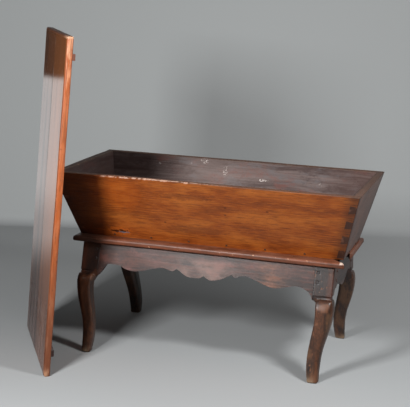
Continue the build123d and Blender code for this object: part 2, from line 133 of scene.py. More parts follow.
# Marks on the front board, as place, reach and raggedness: a bright patch, dark clouds, and the split
# knot as its halo, its dark core and the pale edge of the split, which is a painted glint
BRIGHT_PATCH = (-0.34, 0.22), (0.1, 0.08), 0.9
FRONT_CLOUDS = (((-0.07, 0.235), (0.13, 0.016), 1.4), ((-0.04, 0.075), (0.15, 0.022), 1.0))
KNOT = (
    ((-0.375, 0.032), (0.062, 0.024), 1.2),
    ((-0.372, 0.031), (0.044, 0.009), 2.0),
    ((-0.36, 0.026), (0.026, 0.004), 1.8),
)

# Small dark specks on the front board, and how far each reaches
FRONT_SPECKS = ((-0.169, 0.1), (0.089, 0.165), (0.092, 0.2), (0.262, 0.2))
SPECK_REACH = (0.007, 0.004)

# Dried flour inside the back board: place and reach
FLOUR = (
    ((-0.158, 0.289), (0.026, 0.024)),
    ((0.2, 0.298), (0.03, 0.008)),
    ((0.115, 0.213), (0.03, 0.007)),
    ((-0.061, 0.24), (0.012, 0.03)),
)

# Chevron figure on the lid, as place and reach up and across it and waves in radians for each metre, and
# the places across the lid between which its bare edge begins
CHEVRON_PLACE, CHEVRON_REACH = (1.23, 0.25), (0.1, 0.09)
CHEVRON_WAVES = 190
LID_EDGE = (-0.3035, -0.3065)

# The legs: node, seed, share of scuffs, how far the neck is filled, and worn patches as (place, reach). The
# front right leg's patch at its knee is partly wear and partly a painted highlight
LEGS = (
    ("leg_front_left", 51.0, 0.02, 0.95, (((-0.455, -0.26, 0.32), 0.04),)),
    ("leg_front_right", 52.0, 0.09, 0.6, (((0.5, -0.3, 0.02), 0.045), ((0.505, -0.275, 0.3), 0.03))),
    ("leg_back_left", 53.0, 0.0, 0.95, ()),
    ("leg_back_right", 54.0, 0.02, 0.6, ()),
)

# A leg's neck: the height and spread of its filling, the depths of its groove and of the skin that is
# left in front of it, and the rounds in which the leg is smoothed
NECK_HEIGHT = POST_FOOT + 0.004
NECK_SPREAD = 0.009
NECK_GROOVE, NECK_SKIN = 0.012, 0.001
LEG_ROUNDS = 8

# The moulding's share of scuffs, and its pale broken corner on the right, fresh wood and partly a painted
# highlight, as (place, reach)
MOULDING_WEAR = 0.03
MOULDING_MARKS = (((0.566, -0.212, 0.472), 0.02),)

PEG_SWELL = 0.0014

# The photograph's camera
CAMERA_PLACE = Vector((1.25527, -4.29127, 1.56208))
CAMERA_AZIMUTH = radians(17.169)
CAMERA_ELEVATION = radians(12.003)
CAMERA_ROLL = radians(1.671)
CAMERA_LENS = 96.6

# Away from the camera and to its right, along the floor
HEADING = np.array([-sin(CAMERA_AZIMUTH), cos(CAMERA_AZIMUTH), 0])
SIDEWAYS = np.array([cos(CAMERA_AZIMUTH), sin(CAMERA_AZIMUTH), 0])

# The reflected card's profile: how far away and how high, and how far along its near edge stands. Then
# how far along its other edge stands, the height of the pale part's edge, and how brightly it glows
CARD_AWAY = np.concatenate([np.linspace(-0.3, 1.98, 13), np.full(26, 1.98)])
CARD_HEIGHT = np.concatenate([np.full(13, 0.003), np.linspace(0.1, 2.6, 26)])
CARD_SIDE = np.concatenate([np.linspace(-0.86, -1.36, 13), np.full(26, -1.36)])
CARD_FAR_SIDE = -4.5
CARD_EDGE = 0.945
CARD_GLOW, CARD_FOOT_GLOW = 0.6, 0.37

# The lamps, a key lamp ahead of the left end and a smaller one at the right: name, place, the place it
# is aimed at, width, height and watts
LAMPS = (
    ("key_lamp", (-0.7, -2.5, 1.65), (0, -0.1, 0.5), 0.45, 0.5, 69),
    ("right_lamp", (1.38, -0.9, 1.72), (0, -0.1, 0.3), 0.3, 0.3, 26),
)
FILL_STRENGTH = 0.02


# ---- Sizes and colours ----

def length(name, description, default):
    """A property that holds a length in metres."""
    return FloatProperty(
        name=name, description=description, default=default, unit="LENGTH", min=0.0, precision=4)


def painted(red, green, blue):
    """The linear colour of a shade given in the 0 to 255 of a screen."""
    return tuple(
        value / 12.92 if value <= 0.04045 else ((value + 0.055) / 1.055) ** 2.4
        for value in (red / 255, green / 255, blue / 255)
    )


def colour(name, description, *shade):
    """A property that holds a linear colour, whose default is given as a shade in 0 to 255."""
    return FloatVectorProperty(
        name=name, description=description, default=painted(*shade), subtype="COLOR", size=3, min=0.0, max=1.0)


# Shades of single marks
JOINT_SHADE = painted(58, 30, 16)
END_PALE, END_DIM = painted(136, 92, 72), painted(48, 36, 38)
INSIDE_RED, INSIDE_COOL = painted(112, 66, 56), painted(96, 92, 94)
RIM_DARK, RIM_LIGHT = painted(40, 27, 22), painted(112, 84, 68)
# Painted shade in the back board's inside towards its right corner, and painted shadow of the lid towards its
# left end
BACK_RIGHT_PAINTED_SHADE, BACK_LEFT_PAINTED_SHADOW = painted(70, 42, 34), painted(34, 20, 18)
BACK_PALER_MIDDLE, FLOUR_WHITE = painted(160, 142, 136), painted(226, 214, 206)
# The front's dark left end is painted shadow of the lid
FRONT_BRIGHT, FRONT_LEFT_PAINTED_SHADOW = painted(168, 76, 10), painted(34, 20, 8)
# The knot's pale split is a painted glint
KNOT_HALO, KNOT_SHADE, KNOT_PAINTED_GLINT = painted(190, 96, 30), painted(46, 24, 16), painted(118, 116, 124)
# The lid's foot colour is painted shade
LID_TOP_SHADE, LID_FOOT_PAINTED_SHADE, LID_CHEVRON = painted(156, 96, 48), painted(50, 20, 13), painted(30, 16, 12)
LID_ARRIS, LID_GAP, BATTEN_END = painted(96, 46, 22), (0.008, 0.004, 0.003), painted(186, 130, 114)
# The posts' dark blue-grey is partly a painted sheen
POST_GREY_AND_SHEEN, POST_CORNER = painted(36, 33, 34), painted(84, 48, 36)
LEG_RUBBED, LEG_FOOT = painted(134, 96, 66), painted(168, 140, 112)
# Painted highlight along the moulding's top, and painted shadow of the lid on its left end
MOULDING_PAINTED_HIGHLIGHT, MOULDING_PAINTED_SHADOW = painted(150, 108, 90), painted(30, 17, 12)
# Pale torn fibres at the broken corner, partly a painted highlight
SPLINTER_AND_HIGHLIGHT = painted(226, 206, 190)
APRON_RED, APRON_DIM = painted(118, 68, 60), painted(40, 34, 38)
# The aprons' pale patch is a painted sheen
APRON_OCHRE, APRON_PAINTED_SHEEN = painted(156, 96, 62), painted(170, 140, 128)
FAR_AIR, FILL_AIR, PAPER_MOTTLE = painted(150, 153, 153), (0.9, 0.95, 1.0), (0.4, 0.4, 0.4)


class DoughBoxSizes(bpy.types.PropertyGroup):
    """Sizes of the weathering, how far edges are worn and how uneven the boards are, and of the studio."""

    board_arris: length("Board arris", "Rounding worn on the boards' edges", 0.0018)
    nail_arris: length("Nail arris", "Rounding on the hand-made nails", 0.0004)
    cell: length("Cell", "Spacing of the mesh that the unevenness is worked into", 0.018)
    fine_cell: length("Fine cell", "Spacing of the mesh on the front board", 0.007)
    leg_cell: length("Leg cell", "Spacing of the mesh that the legs are smoothed in", 0.0024)
    shoulder: length("Shoulder", "Height over which a knee swells out of its post", 0.05)
    drift: length("Drift", "How far the hand-planed surfaces wander from flat", 0.0009)
    floor_reach: length("Floor reach", "Half the width of the studio floor", 7.0)
    wall_distance: length("Wall distance", "From the object to the backdrop's wall", 2.1)
    sweep: length("Sweep", "Radius of the bend between the paper's floor and wall", 0.06)


class DoughBoxColours(bpy.types.PropertyGroup):
    """Colours of the woods, the iron and the studio."""

    front_dark: colour("Front, dark", "Dark clouds of the trough's front", 88, 38, 12)
    front_mid: colour("Front, middle", "Main colour of the trough's front", 150, 72, 19)
    front_light: colour("Front, light", "Light streaks of the trough's front", 184, 102, 38)
    end_dark: colour("Ends, dark", "Dark streaks of the trough's ends", 66, 38, 30)
    end_light: colour("Ends, light", "Light streaks of the trough's ends", 116, 84, 74)
    end_grain: colour("End grain", "Ends of the dovetails", 82, 47, 31)
    inside_dark: colour("Inside, dark", "Dark streaks of the trough's bare inside", 58, 38, 34)
    inside_light: colour("Inside, light", "Light streaks of the trough's bare inside", 118, 102, 98)
    dust: colour("Dust", "Flour and dust in the bare wood", 176, 166, 160)
    lid_dark: colour("Lid, dark", "Dark streaks of the lid's faces", 54, 28, 20)
    lid_light: colour("Lid, light", "Light streaks of the lid's faces", 146, 82, 54)
    lid_near_dark: colour("Lid's near board, dark", "Its dark streaks", 112, 58, 28)
    lid_near_light: colour("Lid's near board, light", "Its light streaks", 190, 108, 50)
    edge_low: colour("Lid's edge, low", "Edge of the lid near the floor", 116, 62, 34)
    edge_high: colour("Lid's edge, high", "Edge of the lid near its top", 168, 84, 34)
    chip: colour("Chips", "Fresh wood in the chips of the rim", 236, 212, 196)
    edge_worn: colour("Worn edge", "Bare wood where the polish has gone", 222, 168, 132)
    stand_dark: colour("Stand, dark", "Dark streaks of the stand", 32, 20, 15)
    stand_light: colour("Stand, light", "Light streaks of the stand", 112, 68, 43)
    apron_dark: colour("Aprons, dark", "Dark streaks of the aprons", 40, 28, 25)
    apron_light: colour("Aprons, light", "Light streaks of the aprons", 98, 57, 45)
    stand_worn: colour("Stand, worn", "Places where the stain has worn off the stand", 122, 78, 52)
    moulding_dark: colour("Moulding, dark", "Dark streaks of the moulding", 74, 38, 20)
    moulding_light: colour("Moulding, light", "Light streaks of the moulding", 142, 74, 40)
    iron: colour("Iron", "The hand-made nails", 44, 32, 27)
    rust: colour("Rust", "Rust on the hand-made nails", 86, 54, 38)
    floor_paper: colour("Floor", "The paper on the floor", 176, 179, 180)
    wall_paper: colour("Wall", "The paper on the wall", 176, 180, 180)
    bounce_paper: colour("Bounce", "The paper as the object's shadows see it", 120, 122, 122)


def chosen(context):
    """The sizes and the colours that are set in the scene."""
    return context.scene.dough_box_sizes, context.scene.dough_box_colours


# ---- Shader maths ----

class Value:
    """A socket of a material's nodes. Arithmetic on it adds Math nodes."""

    def __init__(self, finish, socket):
        self.finish = finish
        self.socket = socket

    def math(self, operation, *others):
        return self.finish.node("ShaderNodeMath", {"operation": operation}, (self, *others))

    def __add__(self, other):
        return self.math("ADD", other)

    def __sub__(self, other):
        return self.math("SUBTRACT", other)

    def __mul__(self, other):
        return self.math("MULTIPLY", other)

    def __truediv__(self, other):
        return self.math("DIVIDE", other)

    def __neg__(self):
        return self * -1

    def __rsub__(self, other):
        return self.finish.node("ShaderNodeMath", {"operation": "SUBTRACT"}, (other, self))

    __radd__ = __add__
    __rmul__ = __mul__

    def size(self):
        return self.math("ABSOLUTE")

    def least(self, other):
        return self.math("MINIMUM", other)

    def most(self, other):
        return self.math("MAXIMUM", other)

    def rise(self, start, end, low=0.0, high=1.0):
        """Goes smoothly from low to high while the value goes from start to end."""
        return self.finish.node(
            "ShaderNodeMapRange", {"interpolation_type": "SMOOTHSTEP"}, (self, start, end, low, high))


class Finish:
    """A material under construction, with a Principled surface."""

    def __init__(self, name):
        self.material = bpy.data.materials.new(name)
        self.material.use_nodes = True
        self.tree = self.material.node_tree
        self.shader = self.tree.nodes["Principled BSDF"]
        self.place = self.node("ShaderNodeTexCoord", output="Object")

    def node(self, kind, settings=None, inputs=(), output=0):
        """Adds a node: its settings first, then its inputs in order or by name. Returns an output."""
        made = self.tree.nodes.new(kind)
        for key, value in (settings or {}).items():
            setattr(made, key, value)
        named = inputs.items() if isinstance(inputs, dict) else enumerate(inputs)
        for key, value in named:
            self.feed(made.inputs[key], value)
        return Value(self, made.outputs[output])

    def feed(self, socket, value):
        """Links a value to a socket, or sets the socket to a constant."""
        if isinstance(value, Value):
            self.tree.links.new(value.socket, socket)
        elif hasattr(value, "__len__") and len(value) == 3 and socket.type == "RGBA":
            socket.default_value = (*value, 1.0)
        else:
            socket.default_value = value

    def along(self, direction, origin=(0, 0, 0)):
        """Distance along a direction from an origin, over the object."""
        offset = self.node("ShaderNodeVectorMath", {"operation": "SUBTRACT"}, (self.place, origin))
        return self.node("ShaderNodeVectorMath", {"operation": "DOT_PRODUCT"}, (offset, direction), "Value")

    def joined(self, x, y, z):
        """A vector from three values."""
        return self.node("ShaderNodeCombineXYZ", inputs=(x, y, z))

    def noise(self, vector, scale=1.0, detail=3.0, roughness=0.5):
        """Soft noise from 0 to 1."""
        return self.node("ShaderNodeTexNoise", {"noise_dimensions": "3D"}, {
            "Vector": vector, "Scale": scale, "Detail": detail, "Roughness": roughness})

    def mix(self, factor, first, second):
        """Blends two colours. A Mix node's colours are its inputs 6 and 7 and its output 2."""
        return self.node("ShaderNodeMix", {"data_type": "RGBA"}, {0: factor, 6: first, 7: second}, 2)

    def surface(self, **values):
        """Sets the Principled shader's sockets, named with underscores for spaces."""
        for key, value in values.items():
            self.feed(self.shader.inputs[key.replace("_", " ")], value)

    def stretched(self, plank, scales, seed=0.0, detail=3.0, roughness=0.5):
        """Noise over a plank, with a scale for each of its three directions."""
        u, v, w = (distance * scale for distance, scale in zip(plank, scales))
        return self.noise(self.joined(u, v, w + seed), detail=detail, roughness=roughness)

    def layered(self, shade, *layers):
        """A shade under layers, each an amount and a colour, the lowest first."""
        for amount, coat in layers:
            shade = self.mix(amount, shade, coat)
        return shade

    def spot(self, u, v, place, reach, ragged):
        """1 at a place on a face, falling to 0 at the ellipse of that reach, with a ragged outline."""
        edge = self.noise(self.joined(u * 70, v * 120, place[0] * 40), detail=3.0, roughness=0.6) - 0.5
        x, y = (u - place[0]) / reach[0], (v - place[1]) / reach[1]
        return (x * x + y * y + edge * (ragged * 2)).rise(1.0, 0.35)

    def relief(self, height, distance):
        """Bump from a height in 0 to 1, where 1 stands distance metres proud."""
        self.surface(Normal=self.node("ShaderNodeBump", inputs={"Distance": distance, "Height": height}))


def wood_figure(finish, along, across, depth, seed, streak_width=0.035, ring_width=0.006):
    """The figure of a plank: broad streaks, growth lines and fine fibres, each from 0 to 1.

    along, across and depth are distances in the plank in metres. The growth lines wander with a slow
    warp, and all patterns are stretched along the plank.
    """
    warp = finish.noise(finish.joined(along * 2.4, across * 6 + seed, depth * 6), detail=2.0) - 0.5
    bent = across + warp * (streak_width * 1.3)
    streaks = finish.noise(
        finish.joined(along * 1.8 + seed, bent / streak_width, depth / streak_width),
        detail=4.0, roughness=0.6)
    lines = finish.noise(
        finish.joined(along * 6, bent / ring_width + seed, depth / ring_width), detail=3.0, roughness=0.55)
    fibres = finish.noise(
        finish.joined(along * 38, bent * 1300, depth * 1300 + seed), detail=2.0, roughness=0.6)
    return streaks, lines, fibres


def walls_of_trough(finish):
    """How far a point lies inside the trough's four outer planes: front, back and the two ends."""
    front = -finish.along(FRONT_OUT, FRONT_FOOT)
    back = -finish.along(BACK_OUT, BACK_FOOT)
    ends = (-finish.along(RIGHT_OUT, RIGHT_FOOT)).least(-finish.along(LEFT_OUT, LEFT_FOOT))
    return front, back, ends


def polished_wood(finish, plank, figure, seed, dark, mid, light):
    """The outside of a trough's board: clouds, streaks, growth lines, grain and pores.

    Returns the shade, and the clouds, grain and pores for the relief.
    """
    streaks, lines, fibres = figure
    clouds = finish.stretched(plank, (5.5, 15, 15), seed, roughness=0.55)
    grain = finish.stretched(plank, (16, 190, 190), seed, detail=4.0, roughness=0.65)
    pores = finish.stretched(plank, (55, 620, 620), detail=2.0).rise(0.6, 0.7)
    shade = finish.layered(
        finish.mix(clouds.rise(0.4, 0.68), mid, light),
        (clouds.rise(0.48, 0.26) * 0.5, dark),
        (streaks.rise(0.5, 0.3) * 0.4 + lines.rise(0.5, 0.3) * 0.22, dark),
        (grain.rise(0.5, 0.36) * 0.5, dark),
        (grain.rise(0.52, 0.62) * 0.45 + fibres.rise(0.45, 0.65) * 0.2, light),
        (pores * 0.35, dark))
    return shade, clouds, grain, pores


def bare_wood(finish, plank, figure, blots, seed, name, colours):
    """The inside of a trough's board: blotched, mottled and dusty. The ends are darker, and the left end's
    inside is darkened further with painted shade.
    """
    u, v, w = plank
    streaks, lines, _ = figure
    cool = finish.noise(finish.joined(u * 9 + 9, v * 24, w * 24 + seed), detail=5.0, roughness=0.7)
    flecks = finish.stretched(plank, (34, 62, 62), detail=2.0)
    shade = finish.layered(
        finish.mix(
            streaks.rise(0.34, 0.68) * 0.55 + lines.rise(0.36, 0.66) * 0.35,
            colours.inside_dark, colours.inside_light),
        (blots.rise(0.5, 0.34) * 0.75, colours.inside_dark),
        (blots.rise(0.52, 0.66) * 0.6, INSIDE_RED),
        (cool.rise(0.52, 0.66) * 0.5, INSIDE_COOL))
    if "end" in name:
        shade = finish.mix(0.35, shade, colours.inside_dark)
    shade = finish.mix(flecks.rise(0.74, 0.8) * 0.5, shade, colours.dust)
    if name.startswith("trough_back"):
        shade = back_marks(finish, plank, shade)
    # Painted shade on the left end's inside
    if name.startswith("trough_left"):
        shade = finish.mix(0.5, shade, colours.inside_dark)
    return shade


def rim_chips(finish, plank, front):
    """The splintered strip and the chips along the front board's rim, and the tear that shades them."""
    u, v, _ = plank
    torn = finish.stretched(plank, (60, 40, 40), detail=4.0, roughness=0.7)
    strip = front.rise(0.001, 0.0024) * front.rise(0.013, 0.008) * v.rise(0.28, 0.285)
    chips = strip * torn.rise(0.42, 0.54) * u.rise(-0.44, -0.4) * u.rise(0.16, -0.06)
    for place, reach in FRONT_CHIPS:
        chips = chips.most(finish.spot(u, v, (place, CHIPS_HEIGHT), (reach, CHIPS_REACH), 1.4))
    return chips, torn


def trough_finish(name, along, up, out, foot, seed, dark, mid, light, colours, marks=None):
    """Wood of a trough's board: polished outside, bare and dusty inside, worn brown-grey on the rim.

    marks adds what only this board has, as a function of the finish, the distances in the plank,
    the shade so far and the colours. It returns the shade and what it adds to the roughness.
    """
    finish = Finish(name)
    plank = [finish.along(direction, foot) for direction in (along, up, out)]
    is_end = "end" in name
    front, back, ends = walls_of_trough(finish)
    figure = streaks, lines, fibres = wood_figure(finish, *plank, seed)
    outside, clouds, grain, pores = polished_wood(finish, plank, figure, seed, dark, mid, light)
    gloss = 0.0
    if marks:
        outside, gloss = marks(finish, plank, outside, colours)
    end_grain = finish.noise(finish.place, 260.0, detail=3.0).rise(0.3, 0.7, 0, 0.45)
    cut_ends = front.least(back) if is_end else ends
    joint = front.least(back).rise(0.03, 0.004) if is_end else ends.rise(0.07, 0.008)
    outside = finish.layered(
        outside, (cut_ends.rise(0.0032, 0.0016), finish.mix(end_grain, colours.end_grain, dark)),
        (joint * grain.rise(0.3, 0.5, 0.95, 0.65), JOINT_SHADE))
    blots = finish.stretched(plank, (7, 14, 14), seed, detail=5.0, roughness=0.7)
    if is_end:
        outside = finish.layered(
            outside, (blots.rise(0.5, 0.62) * 0.55, END_PALE), (blots.rise(0.46, 0.32) * 0.6, END_DIM))
    inside = bare_wood(finish, plank, figure, blots, seed, name, colours)
    within = front.least(back).least(ends).rise(*BARE_DEPTHS)
    height = finish.along(Z)
    rim = height.rise(RIM - 0.0045, RIM - 0.0015)
    worn = finish.stretched(plank, (26, 60, 60), seed, roughness=0.6)
    edge = height.rise(RIM - 0.012, RIM - 0.002) * worn.rise(0.66, 0.74) * 0.5
    shade = finish.layered(
        outside, (within, inside), (rim * 0.8, finish.mix(worn, RIM_DARK, RIM_LIGHT)),
        (edge * 0.7, colours.edge_worn))
    bare = within.most(rim).most(edge)
    if marks:
        chips, torn = rim_chips(finish, plank, front)
        shade = finish.mix(chips * 0.9, shade, finish.mix(torn, colours.front_light, colours.chip))
    finish.surface(
        Base_Color=shade, Roughness=bare.rise(0, 1, 0.42, 0.62) + fibres.rise(0.3, 0.7, -0.05, 0.05) + gloss,
        Coat_Weight=bare.rise(0, 1, 0.1, 0.0), Coat_Roughness=0.3, Specular_IOR_Level=0.4)
    fine = lines * 0.3 + fibres * 0.25 + grain * 0.4
    finish.relief(fine + streaks * 0.35 + clouds * 0.5 - pores * 0.5 - edge * 1.5, 0.0006)
    return finish.material


def back_marks(finish, plank, shade):
    """The back board's inside: painted shade towards the right corner, painted shadow of the lid towards the
    left end, paler between, with flour dried on in places.
    """
    u, v, _ = plank
    crumbs = finish.stretched(plank, (170, 240, 200), roughness=0.7)
    here = finish.spot(u, v, *FLOUR[0], 1.0)
    for place, reach in FLOUR[1:]:
        here = here.most(finish.spot(u, v, place, reach, 1.0))
    return finish.layered(
        shade,
        # Painted shade towards the right corner, painted shadow of the lid towards the left end, paler between
        (u.rise(0.3, 0.56) * 0.55, BACK_RIGHT_PAINTED_SHADE),
        (u.rise(-0.26, -0.42) * 0.6, BACK_LEFT_PAINTED_SHADOW),
        (u.rise(-0.32, -0.16) * u.rise(0.2, -0.12) * 0.25, BACK_PALER_MIDDLE),
        (here * crumbs.rise(0.55, 0.62), FLOUR_WHITE))


def front_marks(finish, plank, shade, colours):
    """What only the front board has: a bright patch, a dark left end that is painted shadow of the lid, clouds,
    a split knot whose pale edge is a painted glint, and specks.
    """
    u, v, _ = plank
    shade = finish.layered(
        shade, (finish.spot(u, v, *BRIGHT_PATCH) * 0.3, FRONT_BRIGHT),
        # Painted shadow of the lid over the front's left end
        (u.rise(-0.395, -0.52) * 0.75, FRONT_LEFT_PAINTED_SHADOW))
    for cloud in FRONT_CLOUDS:
        shade = finish.mix(finish.spot(u, v, *cloud) * 0.4, shade, colours.front_dark)
    split = v + finish.noise(finish.joined(u * 30, 3.0, 5.0), detail=3.0, roughness=0.7) * 0.02 - 0.01
    # The split's pale edge is a painted glint
    halo, knot, pale = (finish.spot(u, split, *part) for part in KNOT)
    shade = finish.layered(shade, (halo * 0.7, KNOT_HALO), (knot * 0.9, KNOT_SHADE), (pale * 0.7, KNOT_PAINTED_GLINT))
    for place in FRONT_SPECKS:
        shade = finish.mix(finish.spot(u, v, place, SPECK_REACH, 0.4) * 0.8, shade, colours.front_dark)
    return shade, knot * -0.2


def lid_finish(name, colours, seed, dark, light):
    """Wood of the lid: very glossy faces, and a worn bare edge that pales towards the top, where its worn
    patches are partly a painted highlight.

    Chevrons lie near the top of the faces, and the faces darken towards the foot with painted shade. The
    joint and the ends are dark, and the top batten's near end is pale.
    """
    finish = Finish(name)
    plank = u, v, w = [finish.along(direction, LID_FOOT) for direction in (LID_UP, LID_ACROSS, LID_INWARDS)]
    streaks, lines, fibres = wood_figure(finish, u, v, w, seed)
    broad = finish.noise(finish.joined(u * 0.8 + seed, v * 20, w * 20), detail=4.0, roughness=0.7)
    bend = (v - CHEVRON_PLACE[1]).size() - (u - 1.15) * 0.5 + broad * 0.03
    chevrons = (bend * CHEVRON_WAVES).math("SINE").rise(0.1, 0.8)
    chevrons = chevrons * finish.spot(u, v, CHEVRON_PLACE, CHEVRON_REACH, 0.5)
    face = finish.layered(
        finish.mix(broad.rise(0.36, 0.62), dark, light),
        (streaks.rise(0.5, 0.3) * 0.4 + lines.rise(0.5, 0.75) * 0.25, dark),
        (u.rise(1.02, 1.12) * 0.5, LID_TOP_SHADE),
        (chevrons * 0.8, LID_CHEVRON),
        # Painted shade towards the lid's foot
        (u.rise(0.5, 0.15) * 0.6, LID_FOOT_PAINTED_SHADE))
    patches = finish.stretched(plank, (14, 40, 60), seed, detail=4.0, roughness=0.65)
    holes = finish.stretched(plank, (60, 100, 120), detail=1.0).rise(0.66, 0.74)
    # Worn patches on the edge, near the top partly a painted highlight
    rubbed_and_highlight = u.rise(1.0, 1.25, 0.1, 0.6).most(u.rise(0.05, 0.0, 0.0, 0.8))
    edge = finish.layered(
        finish.mix(u.rise(0.1, 0.6), colours.edge_low, colours.edge_high),
        (patches.rise(0.42, 0.6) * rubbed_and_highlight, colours.edge_worn),
        (w.rise(0.012, 0.022) * patches.rise(0.6, 0.4) * 0.4, colours.edge_low),
        (w.rise(0.005, 0.001) * patches.rise(0.7, 0.45) * 0.85, LID_ARRIS),
        (lines.rise(0.54, 0.36) * 0.6, colours.edge_low),
        (holes * 0.8, colours.lid_dark))
    near = v.rise(*LID_EDGE)
    joint = (v - LID_JOINT).size().rise(0.0035, 0.0015)
    top = u.rise(LID_LENGTH - 0.012, LID_LENGTH - 0.003)
    shade = finish.layered(
        face, (near, edge), (joint * 0.9, LID_GAP), (top * 0.8, colours.end_grain),
        (top * v.rise(-0.2, -0.3) * 0.8, colours.edge_worn))
    if name.startswith("lid_batten_top"):
        shade = finish.mix(v.rise(-0.18, -0.24) * 0.8, shade, BATTEN_END)
    bare = near.most(top)
    rough = bare.rise(0, 1, 0.1, 0.5) + fibres.rise(0.3, 0.7, -0.02, 0.02)
    rough = rough + broad.rise(0.6, 0.35, 0.0, 0.08) + u.rise(0.38, 0.12, 0.0, 0.16)
    finish.surface(
        Base_Color=shade, Roughness=rough,
        Coat_Weight=bare.rise(0, 1, 0.6, 0.0) * u.rise(0.12, 0.4, 0.1, 1.0), Coat_Roughness=0.07)
    figure = lines * 0.4 + fibres * 0.2 + streaks * 0.4
    finish.relief(figure * bare.rise(0, 1, 0.15, 1.0) - holes * 0.6, 0.0005)
    return finish.material


def stand_finish(name, along, up, out, dark, light, worn, seed, rough=0.42, wear=0.0, marks=(), tint=None):
    """Dark stained wood of the stand, with scuffs where the stain has worn through.

    wear is the share of the surface with scuffs, marks are (place, reach) of larger worn patches, some of
    them partly painted highlights, and tint changes the stain's colour over the piece.
    """
    finish = Finish(name)
    plank = [finish.along(direction) for direction in (along, up, out)]
    streaks, lines, fibres = wood_figure(finish, *plank, seed, 0.03, 0.005)
    blots = finish.stretched(plank, (9, 16, 16), seed, detail=4.0, roughness=0.6)
    freckles = finish.stretched(plank, (60, 90, 90), seed, roughness=0.65)
    shade = finish.layered(
        finish.mix(streaks.rise(0.34, 0.7) * 0.6 + lines.rise(0.45, 0.75) * 0.4, dark, light),
        (blots.rise(0.46, 0.3) * 0.8, dark), (freckles.rise(0.5, 0.4) * 0.4, dark))
    if tint:
        shade = tint(finish, shade, blots)
    scuffs = finish.stretched(plank, (46, 80, 80), seed, roughness=0.6)
    wear_and_highlights = scuffs.rise(0.7 - wear, 0.78 - wear) * 0.8
    # Larger patches from marks, some partly painted highlights
    for place, reach in marks:
        offset = finish.node("ShaderNodeVectorMath", {"operation": "DISTANCE"}, (finish.place, place), "Value")
        wear_and_highlights = wear_and_highlights.most((offset / reach - scuffs * 0.9).rise(0.45, 0.0) * 0.6)
    finish.surface(
        Base_Color=finish.mix(wear_and_highlights, shade, worn),
        Roughness=wear_and_highlights.rise(0, 1, rough, rough + 0.15) + fibres.rise(0.3, 0.7, -0.06, 0.06),
        Coat_Weight=0.15, Coat_Roughness=0.3)
    finish.relief(lines * 0.4 + fibres * 0.25 + streaks * 0.35 + blots * 0.6 - wear_and_highlights * 0.5, 0.0008)
    return finish.material


def leg_tint(finish, shade, blots):
    """Posts dark blue-grey above the legs, which is partly a painted sheen, and redder at their outer corners;
    worn knees and feet.
    """
    height = finish.along(Z)
    corner = finish.along(X).size().rise(0.498, 0.512)
    # Dark blue-grey posts, partly a painted sheen, redder at their outer corners
    post_grey_and_sheen = finish.mix(corner * 0.75, POST_GREY_AND_SHEEN, POST_CORNER)
    return finish.layered(
        shade,
        (height.rise(0.34, 0.26) * blots.rise(0.5, 0.62) * 0.35, LEG_RUBBED),
        (height.rise(0.035, 0.004) * blots.rise(0.35, 0.6) * 0.7, LEG_FOOT),
        (height.rise(POST_FOOT - 0.004, POST_FOOT + 0.006) * 0.75, post_grey_and_sheen))


def moulding_tint(finish, shade, blots):
    """The moulding's left end carries painted shadow of the lid and its top a painted highlight. Its broken
    corner shows pale torn fibres, partly a painted highlight.
    """
    x, y, z = finish.along(X), finish.along(Y), finish.along(Z)
    corner = x.rise(0.545, 0.552) * y.rise(-0.2, -0.215)
    # Pale torn fibres at the broken corner, partly a painted highlight
    splinter_and_highlight = corner * blots.rise(0.44, 0.5) * z.rise(SEAT - 0.01, SEAT - 0.006)
    return finish.layered(
        shade,
        # Painted highlight along the top; painted shadow of the lid on the left end
        (z.rise(SEAT - 0.014, SEAT - 0.002) * blots.rise(0.35, 0.6) * 0.3, MOULDING_PAINTED_HIGHLIGHT),
        (splinter_and_highlight * 0.9, SPLINTER_AND_HIGHLIGHT),
        (x.rise(-0.4, -0.5) * 0.85, MOULDING_PAINTED_SHADOW))


def apron_tint(finish, shade, blots):
    """Reddish and dim clouds in the aprons' stain, an ochre patch, and a pale patch that is a painted sheen."""
    x, z = finish.along(X), finish.along(Z)
    clouds = finish.noise(finish.joined(x * 9, z * 16, 7.0), detail=4.0, roughness=0.65)
    # A pale patch where the key lamp's sheen falls: painted sheen
    pale = x.rise(-0.2, -0.06) * x.rise(0.16, 0.02) * clouds.rise(0.32, 0.6) * z.rise(0.44, 0.4)
    ochre = x.rise(0.2, 0.27) * x.rise(0.36, 0.29) * clouds.rise(0.4, 0.62)
    return finish.layered(
        shade, (clouds.rise(0.5, 0.68) * 0.55, APRON_RED), (clouds.rise(0.42, 0.3) * 0.5, APRON_DIM),
        (ochre * 0.45, APRON_OCHRE), (pale * 0.3, APRON_PAINTED_SHEEN))


def iron_finish(name, colours):
    """Dark hand-made iron, pitted and rusty."""
    finish = Finish(name)
    pits = finish.noise(finish.place, 420.0, detail=3.0)
    finish.surface(
        Base_Color=finish.mix(pits.rise(0.35, 0.7), colours.iron, colours.rust),
        Metallic=pits.rise(0.3, 0.7, 0.5, 0.1), Roughness=pits.rise(0.3, 0.7, 0.5, 0.8))
    finish.relief(pits, 0.0003)
    return finish.material


# ---- Meshes ----

def drifted(points, amount):
    """Points moved by the slow unevenness of hand-planed wood.

    Each axis gets a sum of three sine waves of the place, 0.9, 0.38 and 0.17 m long, with weights
    0.5, 0.3 and 0.2 of the amount. Pieces that touch move alike, so their joints stay closed.
    """
    moved = points.copy()
    for axis in range(3):
        for number, (wave, weight) in enumerate(((0.9, 0.5), (0.38, 0.3), (0.17, 0.2))):
            turn = 1.7 * axis + 2.3 * number
            heading = np.array([cos(turn), sin(turn * 1.3), cos(turn * 0.7 + 1.0)])
            moved[:, axis] += amount * weight * np.sin(points @ heading * (2 * pi / wave) + turn)
    return moved


